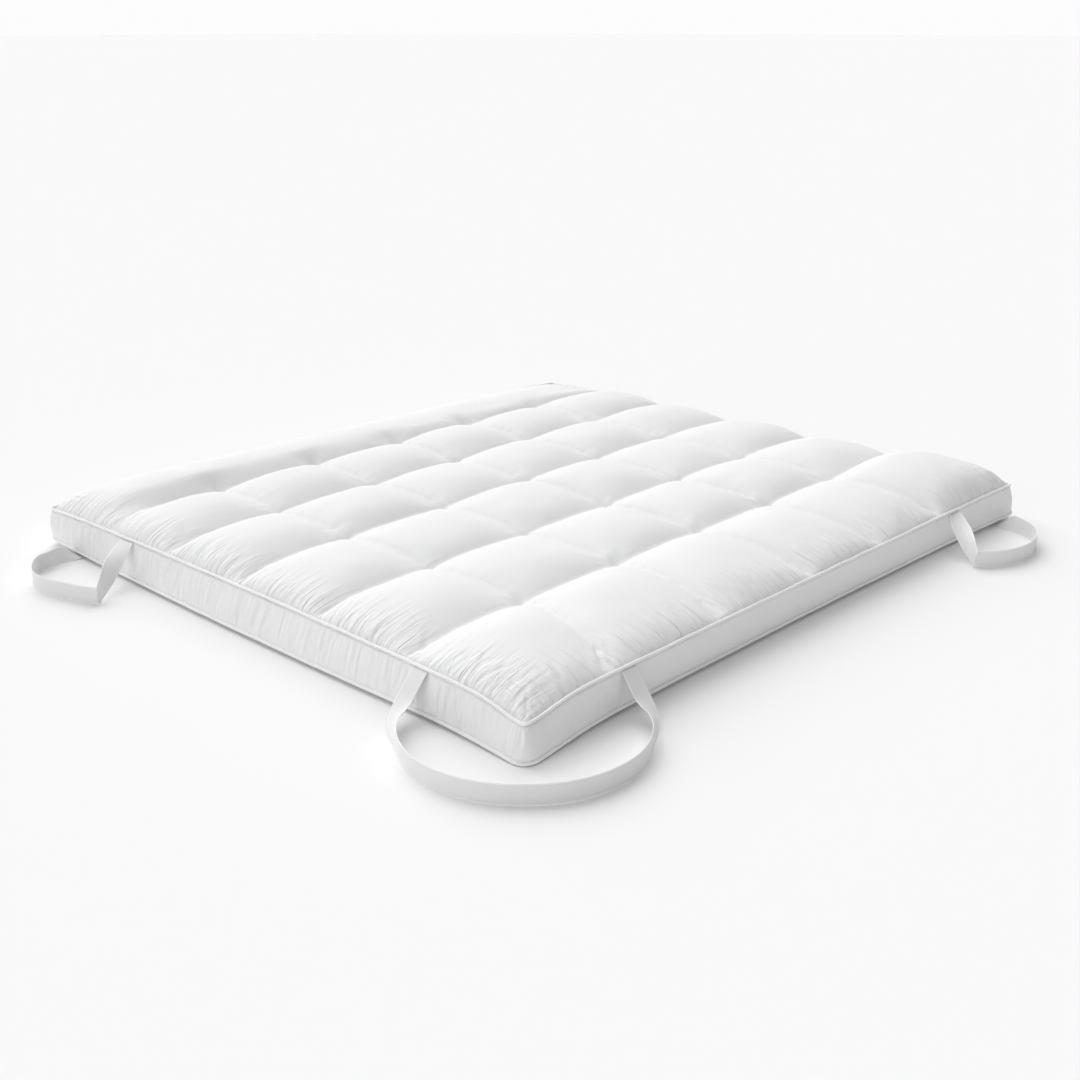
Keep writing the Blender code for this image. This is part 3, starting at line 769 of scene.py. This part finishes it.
def build_quilted_body(materials):
    bm = bmesh.new()
    steps_x, steps_y = pocket_grid(LINES_X), pocket_grid(LINES_Y)
    count = len(steps_x) - 1
    bmesh.ops.create_grid(bm, x_segments=count, y_segments=count, size=count / 2)
    for vert in bm.verts:
        column, row = round(vert.co.x + count / 2), round(vert.co.y + count / 2)
        vert.co = (steps_x[column], steps_y[row], 0)
    fine = [edge for edge in bm.edges if in_fine_border(edge)]
    bmesh.ops.subdivide_edges(bm, edges=fine, cuts=FINE_CUTS, use_grid_fill=True)
    top = list(bm.verts)
    x, y, _ = vert_places(bm).T
    rings = close_body(bm)
    place_verts(top, np.column_stack([*quilt_plan(x, y), quilt_height(x, y)]))
    for verts, places in rings:
        place_verts(verts, places)
    piece = finish_piece(bm, "quilted_top", materials["quilted"])
    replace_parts(piece, "quilted_body")
    return piece


# The band, the piping and the base.

BAND_SPACING = 0.004
BAND_ROWS = 12
BAND_FROM = 2 * PIPING_RADIUS + 2 * CLEARANCE
SMOOTH_SIDE_SHARE = 0.15
SIDE_MARGIN = 0.001  # within this of the plain outline, a point is on that side
BAND_CREASES = (0.0042, 0.021, 1.6, 3.0)  # height, spacing, waver, sharpness
BAND_CREASE_LEVEL = 0.7
BAND_CREASE_LEAN = (0.012, 0.09)  # how much at most, varies over
BAND_PATCHES = (0.4, -0.3, 0.5, 0.16)  # weakest, noise of weakest and strongest, varies over
BAND_SWELL = (0.0010, 0.22)  # height, spacing
BAND_SWELL_POWER = 0.6
PIPING_SIDES = 12
BASE_CORD_RADIUS = 0.0043  # the lower cord is covered more loosely
WAVER_SPACING = (0.07, 0.055)  # of the cords: sideways, up and down
TOP_CORD_WAVER = 0.0007
BASE_CORD_WAVER = 0.0004
BASE_GRID = 60


def band_wrinkles(x, along, share):
    """Upright creases, mainly on the side at low X."""
    on_low_x = np.where(x < -HALF[0] + SIDE_MARGIN, 1.0, SMOOTH_SIDE_SHARE)
    middle = 1 - (2 * share - 1) ** 2
    lean, lean_spacing = BAND_CREASE_LEAN
    place = along + lean * noise_along(along, lean_spacing, seed=61) * (share - 0.5)
    weakest, low, high, patch_spacing = BAND_PATCHES
    patches = smooth_step(low, high, noise_along(along, patch_spacing, seed=62))
    patches = weakest + (1 - weakest) * patches
    height, spacing, waver, sharpness = BAND_CREASES
    ridges = creases(place / spacing, share * waver, 63, sharpness)
    swell_height, swell_spacing = BAND_SWELL
    swell = swell_height * noise_along(along, swell_spacing, seed=64)
    relief = height * on_low_x * patches * (ridges - BAND_CREASE_LEVEL) + swell
    return middle ** BAND_SWELL_POWER * relief


def build_band(materials):
    x, y, along = outline(BAND_SPACING)
    rows = []
    for share in np.linspace(0, 1, BAND_ROWS + 1):
        out = BAND_BULGE * (1 - (2 * share - 1) ** 2) + band_wrinkles(x, along, share)
        px, py = plan_point(x, y, 1 - share, -out)
        low = base_lift(px, py) + BAND_FROM
        high = top_seam_height(px, py) - PIPING_RADIUS - CLEARANCE
        rows.append(np.column_stack([px, py, low + (high - low) * share]))
    bm = bmesh.new()
    grid_mesh(bm, np.stack(rows, axis=1), closed=True)
    piece = finish_piece(bm, "boxing_band", materials["band"])
    add_thickness(piece, CLOTH_THICKNESS, -1)
    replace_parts(piece, "gusset_band")
    return piece


def build_piping(name, cad_node, depth, height, waver, radius, materials):
    """A round covered cord on one seam, which wavers a little from it."""
    x, y, along = outline(BAND_SPACING)
    side = waver * noise_along(along, WAVER_SPACING[0], seed=71)
    px, py = plan_point(x, y, depth, side)
    pz = height(px, py) + waver * noise_along(along, WAVER_SPACING[1], seed=72)
    centre = np.column_stack([px, py, pz])
    ahead = np.roll(centre, -1, axis=0) - np.roll(centre, 1, axis=0)
    ahead /= np.linalg.norm(ahead, axis=1)[:, None]
    outward = np.cross(ahead, (0, 0, 1))
    outward /= np.linalg.norm(outward, axis=1)[:, None]
    upward = np.cross(outward, ahead)
    turns = np.linspace(0, 2 * math.pi, PIPING_SIDES + 1)[None, :, None]
    girth = radius * (outward[:, None] * np.cos(turns) + upward[:, None] * np.sin(turns))
    bm = bmesh.new()
    grid_mesh(bm, centre[:, None] + girth, closed=True)
    bmesh.ops.remove_doubles(bm, verts=bm.verts, dist=WELD_DISTANCE)
    piece = finish_piece(bm, name, materials["piping"])
    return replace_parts(piece, cad_node)


def build_base(materials):
    bm = bmesh.new()
    bmesh.ops.create_grid(bm, x_segments=BASE_GRID, y_segments=BASE_GRID, size=1)
    x, y, _ = vert_places(bm).T
    x, y = x * HALF[0], y * HALF[1]
    share = np.maximum(np.abs(x) / HALF[0], np.abs(y) / HALF[1])
    safe = np.maximum(share, TINY)
    moved_x, moved_y = plan_point(x / safe, y / safe, 1.0, FOOT_INSET)
    px, py = moved_x * share, moved_y * share
    edge_share = np.clip((share - 1) * HALF[1] / LIFT_REACH + 1, 0, 1)
    place_verts(bm.verts, np.column_stack([px, py, base_lift(px, py) * edge_share]))
    piece = finish_piece(bm, "base_sheet", materials["base"])
    add_thickness(piece, CLOTH_THICKNESS, -1 if piece.data.polygons[0].normal.z < 0 else 1)
    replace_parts(piece, "base_panel")
    return piece


# The elastic straps, with the part's own rows. Each corner has two axes, "first" and
# "second", that run from the corner along its two sides.

LIMB_TOP = 0.0985
GENTLE_LIMB = (
    # along, out, height, width direction: to the corner, up
    (0.304, 0.000, LIMB_TOP, 1.00, 0.00),
    (0.304, 0.016, 0.0760, 1.00, 0.00),
    (0.303, 0.036, 0.0505, 1.00, 0.00),
    (0.293, 0.064, 0.0345, 0.98, 0.30),
    (0.265, 0.101, 0.0265, 0.62, 0.79),
    (0.212, 0.143, 0.0235, 0.05, 1.00),
)
STRAIGHT_LIMB_ROWS = 6
LEFT_LIMB = {"from_along": 0.378, "to_along": 0.487, "to_out": 0.147}
RIGHT_LIMB = {"from_along": 0.334, "to_along": 0.435, "to_out": 0.124}
NEAR_ARC = (
    (0.125, -0.184), (0.036, -0.188), (-0.045, -0.163), (-0.112, -0.112),
    (-0.163, -0.045), (-0.188, 0.036), (-0.184, 0.125),
)
LEFT_ARC = (
    (0.440, -0.170), (0.398, -0.183), (0.350, -0.198), (0.303, -0.205),
    (0.255, -0.196), (0.219, -0.176), (0.190, -0.152),
)
RIGHT_ARC = (
    (0.395, -0.158), (0.354, -0.180), (0.300, -0.193), (0.250, -0.192),
    (0.201, -0.179), (0.162, -0.160), (0.137, -0.139),
)
LEFT_TUCK = (
    (0.173, 0.132, 0.0, 0.00, 1.00),
    (0.168, 0.100, 0.0, 0.10, 1.00),
    (0.160, 0.070, 0.0, 0.30, 0.95),
    (0.153, 0.045, 0.0, 0.60, 0.80),
    (0.147, 0.024, 0.0, 0.95, 0.32),
    (0.144, 0.009, 0.0, 1.00, 0.05),
    (0.143, 0.000, 0.0, 1.00, 0.05),
)
RIGHT_TUCK = (
    (0.123, 0.121, 0.0, 0.00, 1.00),
    (0.105, 0.085, 0.0, 0.20, 0.98),
    (0.091, 0.056, 0.0, 0.55, 0.84),
    (0.074, 0.026, 0.0, 0.95, 0.32),
    (0.066, 0.009, 0.0, 1.00, 0.05),
    (0.063, 0.000, 0.0, 1.00, 0.05),
)
LEFT_UNDER = ((0.132, 0.055), (0.101, 0.101), (0.055, 0.132))
RIGHT_UNDER = ((0.060, 0.050), (0.048, 0.095), (0.025, 0.128))
UNDER_TILT = 0.05
SIDE_REACH = 0.10
STEPS_PER_STRAP_ROW = 10

STRAPS = {
    "strap_near": {
        "corner": (-1, -1), "first": (0, 1), "second": (1, 0),
        "limb": GENTLE_LIMB, "arc": NEAR_ARC,
    },
    "strap_left": {
        "corner": (-1, 1), "first": (0, -1), "second": (1, 0),
        "limb": LEFT_LIMB, "arc": LEFT_ARC, "tuck": LEFT_TUCK, "under": LEFT_UNDER,
    },
    "strap_right": {
        "corner": (1, -1), "first": (-1, 0), "second": (0, 1),
        "limb": RIGHT_LIMB, "arc": RIGHT_ARC, "tuck": RIGHT_TUCK, "under": RIGHT_UNDER,
    },
    "strap_far": {
        "corner": (1, 1), "first": (-1, 0), "second": (0, -1),
        "limb": GENTLE_LIMB, "arc": NEAR_ARC, "spread": 0.92,
    },
}


def straight_limb(from_along, to_along, to_out):
    """The rows of a limb that runs straight down, turning evenly on to its edge."""
    rows = []
    for share in np.linspace(0, 1, STRAIGHT_LIMB_ROWS):
        turn = math.pi / 2 * share
        rows.append((
            from_along + (to_along - from_along) * share, to_out * share,
            LIMB_TOP + (STRAP_WIDTH / 2 - LIMB_TOP) * share,
            math.cos(turn), math.sin(turn),
        ))
    return rows


def limb_rows(limb, first, second, swapped):
    """Rows of x, y, z and the direction across the strap, in the corner's axes."""
    rows = []
    for along, out, height, to_corner, up in limb:
        place = (-out, along) if swapped else (along, -out)
        across = (0.0, -to_corner) if swapped else (-to_corner, 0.0)
        rows.append((
            *(first * place[0] + second * place[1]), height,
            *(first * across[0] + second * across[1]), up,
        ))
    return rows


def arc_rows(arc, first, second):
    standing = STRAP_WIDTH / 2
    return [(*(first * a + second * b), standing, 0.0, 0.0, 1.0) for a, b in arc]


def under_rows(under, first, second):
    rows = []
    for a, b in under:
        place = first * a + second * b
        rows.append((*place, 0.0, *(-place / np.linalg.norm(place)), UNDER_TILT))
    return rows


def smooth_rows(rows):
    """A smooth curve through the rows, all columns alike, by Hermite pieces."""
    rows = np.array(rows)
    lengths = np.linalg.norm(np.diff(rows[:, :3], axis=0), axis=1)[:, None]
    slopes = np.diff(rows, axis=0) / lengths
    inner = slopes[:-1] * lengths[1:] + slopes[1:] * lengths[:-1]
    inner /= lengths[:-1] + lengths[1:]
    tangents = np.vstack([slopes[:1], inner, slopes[-1:]])
    fine = []
    for index, length in enumerate(lengths):
        for step in range(STEPS_PER_STRAP_ROW):
            t = step / STEPS_PER_STRAP_ROW
            fine.append(
                (1 + 2 * t) * (1 - t) ** 2 * rows[index]
                + t * (1 - t) ** 2 * length * tangents[index]
                + t ** 2 * (3 - 2 * t) * rows[index + 1]
                - t ** 2 * (1 - t) * length * tangents[index + 1]
            )
    fine.append(rows[-1])
    return np.array(fine)


def strap_route(first, second, limb, arc, tuck, under):
    rows = straight_limb(**limb) if isinstance(limb, dict) else limb
    start = limb_rows(rows, first, second, swapped=False)
    middle = arc_rows(arc, first, second)
    end = limb_rows(GENTLE_LIMB, first, second, swapped=True)[::-1]
    if not tuck:
        return smooth_rows(start + middle + end)
    middle += limb_rows(tuck, first, second, swapped=False)
    middle += under_rows(under, first, second)
    middle += limb_rows(LEFT_TUCK, first, second, swapped=True)[::-1]
    return np.vstack([smooth_rows(start)[:-1], smooth_rows([start[-1]] + middle + end)])


def resting_height(across):
    """How high the middle of each section is when its lower edge is on the surface."""
    steepness = np.abs(across[:, 2]) / np.linalg.norm(across, axis=1)
    flatness = np.sqrt(1 - np.minimum(steepness, 1.0) ** 2)
    return STRAP_WIDTH / 2 * steepness + (STRAP_THICKNESS / 2 + CLEARANCE) * flatness


def band_face(x, y, height, corner, axis):
    half_height = TOP_SEAM_HEIGHT / 2
    bulge = BAND_BULGE * max(1 - abs(height - half_height) / half_height, 0.0)
    edge = [x, y]
    edge[axis] = corner[axis] * HALF[axis]
    depth = float(np.clip(1 - height / TOP_SEAM_HEIGHT, 0, 1))
    return float(plan_point(np.float64(edge[0]), np.float64(edge[1]), depth, -bulge)[axis])


def seat_on_band(centre, half, corner):
    """Shift a section near a side with that side's own bow, and keep it off the band."""
    gap = STRAP_THICKNESS / 2 + CLEARANCE
    beyond = [corner[axis] * centre[axis] - HALF[axis] for axis in (0, 1)]
    for axis in (0, 1):
        if abs(beyond[axis]) < SIDE_REACH and beyond[1 - axis] < -SIDE_REACH:
            points = (centre - half, centre, centre + half)
            faces = [corner[axis] * band_face(*point, corner, axis) + gap for point in points]
            short = max(
                face - corner[axis] * point[axis] for face, point in zip(faces, points))
            nearness = 1 - max(beyond[axis], 0.0) / SIDE_REACH
            centre[axis] += corner[axis] * max(short, (max(faces) - HALF[axis]) * nearness)


def square_across(across, along):
    """Square the width directions to the strap, but let its sewn ends follow the seam."""
    slant = along * np.sum(across * along, axis=1)[:, None]
    square = across - slant
    from_end = np.minimum(np.arange(len(across)), np.arange(len(across))[::-1])
    sewn = np.maximum(1 - from_end / STEPS_PER_STRAP_ROW, 0.0)[:, None]
    return (square + slant * sewn) * STRAP_WIDTH / 2 / np.linalg.norm(square, axis=1)[:, None]


def strap_sections(corner, first, second, limb, arc, tuck=None, under=(), spread=1.0):
    first = np.array(first, dtype=float)
    second = np.array(second, dtype=float)
    rows = strap_route(first, second, limb, arc, tuck, under)
    rows[:, :2] *= spread
    rows[:, 0] += corner[0] * HALF[0]
    rows[:, 1] += corner[1] * HALF[1]
    rows[:, 2] = np.maximum(rows[:, 2], resting_height(rows[:, 3:]))
    along = np.gradient(rows[:, :3], axis=0)
    along /= np.linalg.norm(along, axis=1)[:, None]
    across = square_across(rows[:, 3:], along)
    centres = rows[:, :3]
    centres[:, 2] = np.maximum(centres[:, 2], resting_height(across))
    for index in np.flatnonzero(centres[:, 2] > STRAP_WIDTH / 2 + CLEARANCE):
        seat_on_band(centres[index], across[index], corner)
    through = np.cross(along, across)
    return centres, across, through / np.linalg.norm(through, axis=1)[:, None]


RIM_SHARE = 0.13
RIM_PROFILE = (
    # how far in from the edge, in rim widths, and how thick, as a share of the strap
    (0.0, 0.25),
    (1 / 3, 0.85),
    (1.0, 0.95),
    (1.5, 0.62),
)
WEB_FROM = 2.2  # rim widths
WEB_THICKNESS = 0.62
STRAP_COLUMNS = 14


def strap_profile():
    """Across and through, each from -1 to 1: a flat web with a rounded rim on both edges."""
    rim = np.array(RIM_PROFILE)
    edge = -1 + rim[:, 0] * RIM_SHARE
    web_edge = 1 - WEB_FROM * RIM_SHARE
    across = np.concatenate([edge, np.linspace(-web_edge, web_edge, STRAP_COLUMNS), -edge[::-1]])
    through = np.concatenate([
        rim[:, 1], np.full(STRAP_COLUMNS, WEB_THICKNESS), rim[::-1, 1]])
    upper = np.column_stack([across, through])
    lower = np.column_stack([across[::-1], -through[::-1]])
    return np.vstack([upper, lower])


def build_strap(name, shape, materials):
    centres, across, through = strap_sections(**shape)
    profile = strap_profile()
    places = (
        centres[:, None]
        + across[:, None] * profile[None, :, :1]
        + through[:, None] * profile[None, :, 1:] * STRAP_THICKNESS / 2
    )
    places = np.concatenate([places, places[:, :1]], axis=1)
    bm = bmesh.new()
    grid_mesh(bm, places, closed=False)
    # The faces of the rolled rims take the lighter rim cloth, a painted highlight.
    in_painted_highlight_rim = np.abs((profile + np.roll(profile, -1, axis=0))[:, 0] / 2) > 1 - RIM_SHARE
    for index, face in enumerate(bm.faces):
        face.material_index = int(in_painted_highlight_rim[index % len(profile)])
    bmesh.ops.remove_doubles(bm, verts=bm.verts, dist=WELD_DISTANCE)
    ends = [edge for edge in bm.edges if edge.is_boundary]
    bmesh.ops.holes_fill(bm, edges=ends)
    piece = finish_piece(
        bm, name.replace("strap", "elastic"), materials["elastic"])
    piece.data.materials.append(materials["rim"])
    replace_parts(piece, name)
    return piece


# Floor, light and camera.

FOCAL_PIXELS = 1424.8
FRAME_PIXELS = 1080
SENSOR_WIDTH = 36
CAMERA_SEES_TO = 500
CAMERA_AZIMUTH = math.radians(223.51)
CAMERA_ELEVATION = math.radians(19.96)
CAMERA_TARGET = Vector((-0.066, -0.052, 0.0))
CAMERA_DISTANCE = 3.932


def make_camera():
    data = bpy.data.cameras.new("camera")
    data.sensor_width = SENSOR_WIDTH
    data.lens = SENSOR_WIDTH * FOCAL_PIXELS / FRAME_PIXELS
    data.clip_end = CAMERA_SEES_TO
    camera = bpy.data.objects.new("camera", data)
    bpy.context.scene.collection.objects.link(camera)
    back = Vector((
        math.cos(CAMERA_ELEVATION) * math.cos(CAMERA_AZIMUTH),
        math.cos(CAMERA_ELEVATION) * math.sin(CAMERA_AZIMUTH),
        math.sin(CAMERA_ELEVATION)))
    camera.location = CAMERA_TARGET + back * CAMERA_DISTANCE
    camera.rotation_euler = (-back).to_track_quat("-Z", "Y").to_euler()
    bpy.context.scene.camera = camera


FLOOR_HALF_SIZE = 150
FLOOR_SEGMENTS = 8
FLOOR_HEIGHT = -0.0005
FLOOR_COLOUR = (0.93, 0.93, 0.93, 1)
FLOOR_ROUGHNESS = 0.9


def make_floor():
    bm = bmesh.new()
    bmesh.ops.create_grid(
        bm, x_segments=FLOOR_SEGMENTS, y_segments=FLOOR_SEGMENTS, size=FLOOR_HALF_SIZE)
    mesh = bpy.data.meshes.new("floor")
    bm.to_mesh(mesh)
    bm.free()
    material = bpy.data.materials.new("floor_paint")
    material.use_nodes = True
    shader = material.node_tree.nodes["Principled BSDF"]
    shader.inputs["Base Color"].default_value = FLOOR_COLOUR
    shader.inputs["Roughness"].default_value = FLOOR_ROUGHNESS
    shader.inputs["Specular IOR Level"].default_value = 0.0
    mesh.materials.append(material)
    floor = bpy.data.objects.new("floor", mesh)
    bpy.context.scene.collection.objects.link(floor)
    floor.location.z = FLOOR_HEIGHT


LIGHTS = (
    # name, energy, angle in degrees, where from
    ("key", 2.58, 70, (0.28, 0.62, 0.72)),
    ("left", 0.74, 60, (-0.90, 0.05, 0.32)),
)
SURROUND = 0.34
HORIZON = 0.98
HORIZON_BAND = (0.02, 0.10)  # where the surround turns from the one to the other


def make_light():
    """A soft key from above and behind, a weaker one from the left, and a pale surround."""
    for name, energy, angle, place in LIGHTS:
        sun = bpy.data.lights.new(name, "SUN")
        sun.energy = energy
        sun.angle = math.radians(angle)
        light = bpy.data.objects.new(name, sun)
        bpy.context.scene.collection.objects.link(light)
        light.rotation_euler = Vector(place).to_track_quat("Z", "Y").to_euler()
    make_surround()
    bpy.context.scene.view_settings.view_transform = "Standard"


def make_surround():
    """An even pale room, nearly white at the horizon, where it meets the floor."""
    world = bpy.data.worlds.new("surround")
    bpy.context.scene.world = world
    world.use_nodes = True
    tree = world.node_tree
    direction = node(tree, "ShaderNodeTexCoord")
    parts = node(tree, "ShaderNodeSeparateXYZ")
    ramp = node(tree, "ShaderNodeValToRGB")
    for stop, position, grey in zip(
        ramp.color_ramp.elements, HORIZON_BAND, (HORIZON, SURROUND),
    ):
        stop.position = position
        stop.color = (grey, grey, grey, 1)
    tree.links.new(direction.outputs["Generated"], parts.inputs["Vector"])
    tree.links.new(parts.outputs["Z"], ramp.inputs["Fac"])
    tree.links.new(ramp.outputs["Color"], tree.nodes["Background"].inputs["Color"])
    tree.nodes["Background"].inputs["Strength"].default_value = 1.0


def main():
    make_camera()
    make_floor()
    make_light()
    materials = make_materials()
    build_quilted_body(materials)
    build_band(materials)
    build_piping(
        "piping_top_cord", "piping_top", 0.0, top_seam_height, TOP_CORD_WAVER,
        PIPING_RADIUS, materials)
    build_piping(
        "piping_bottom_cord", "piping_bottom", 1.0,
        lambda x, y: base_lift(x, y) + BASE_CORD_RADIUS, BASE_CORD_WAVER,
        BASE_CORD_RADIUS, materials)
    build_base(materials)
    for name, shape in STRAPS.items():
        build_strap(name, shape, materials)


main()
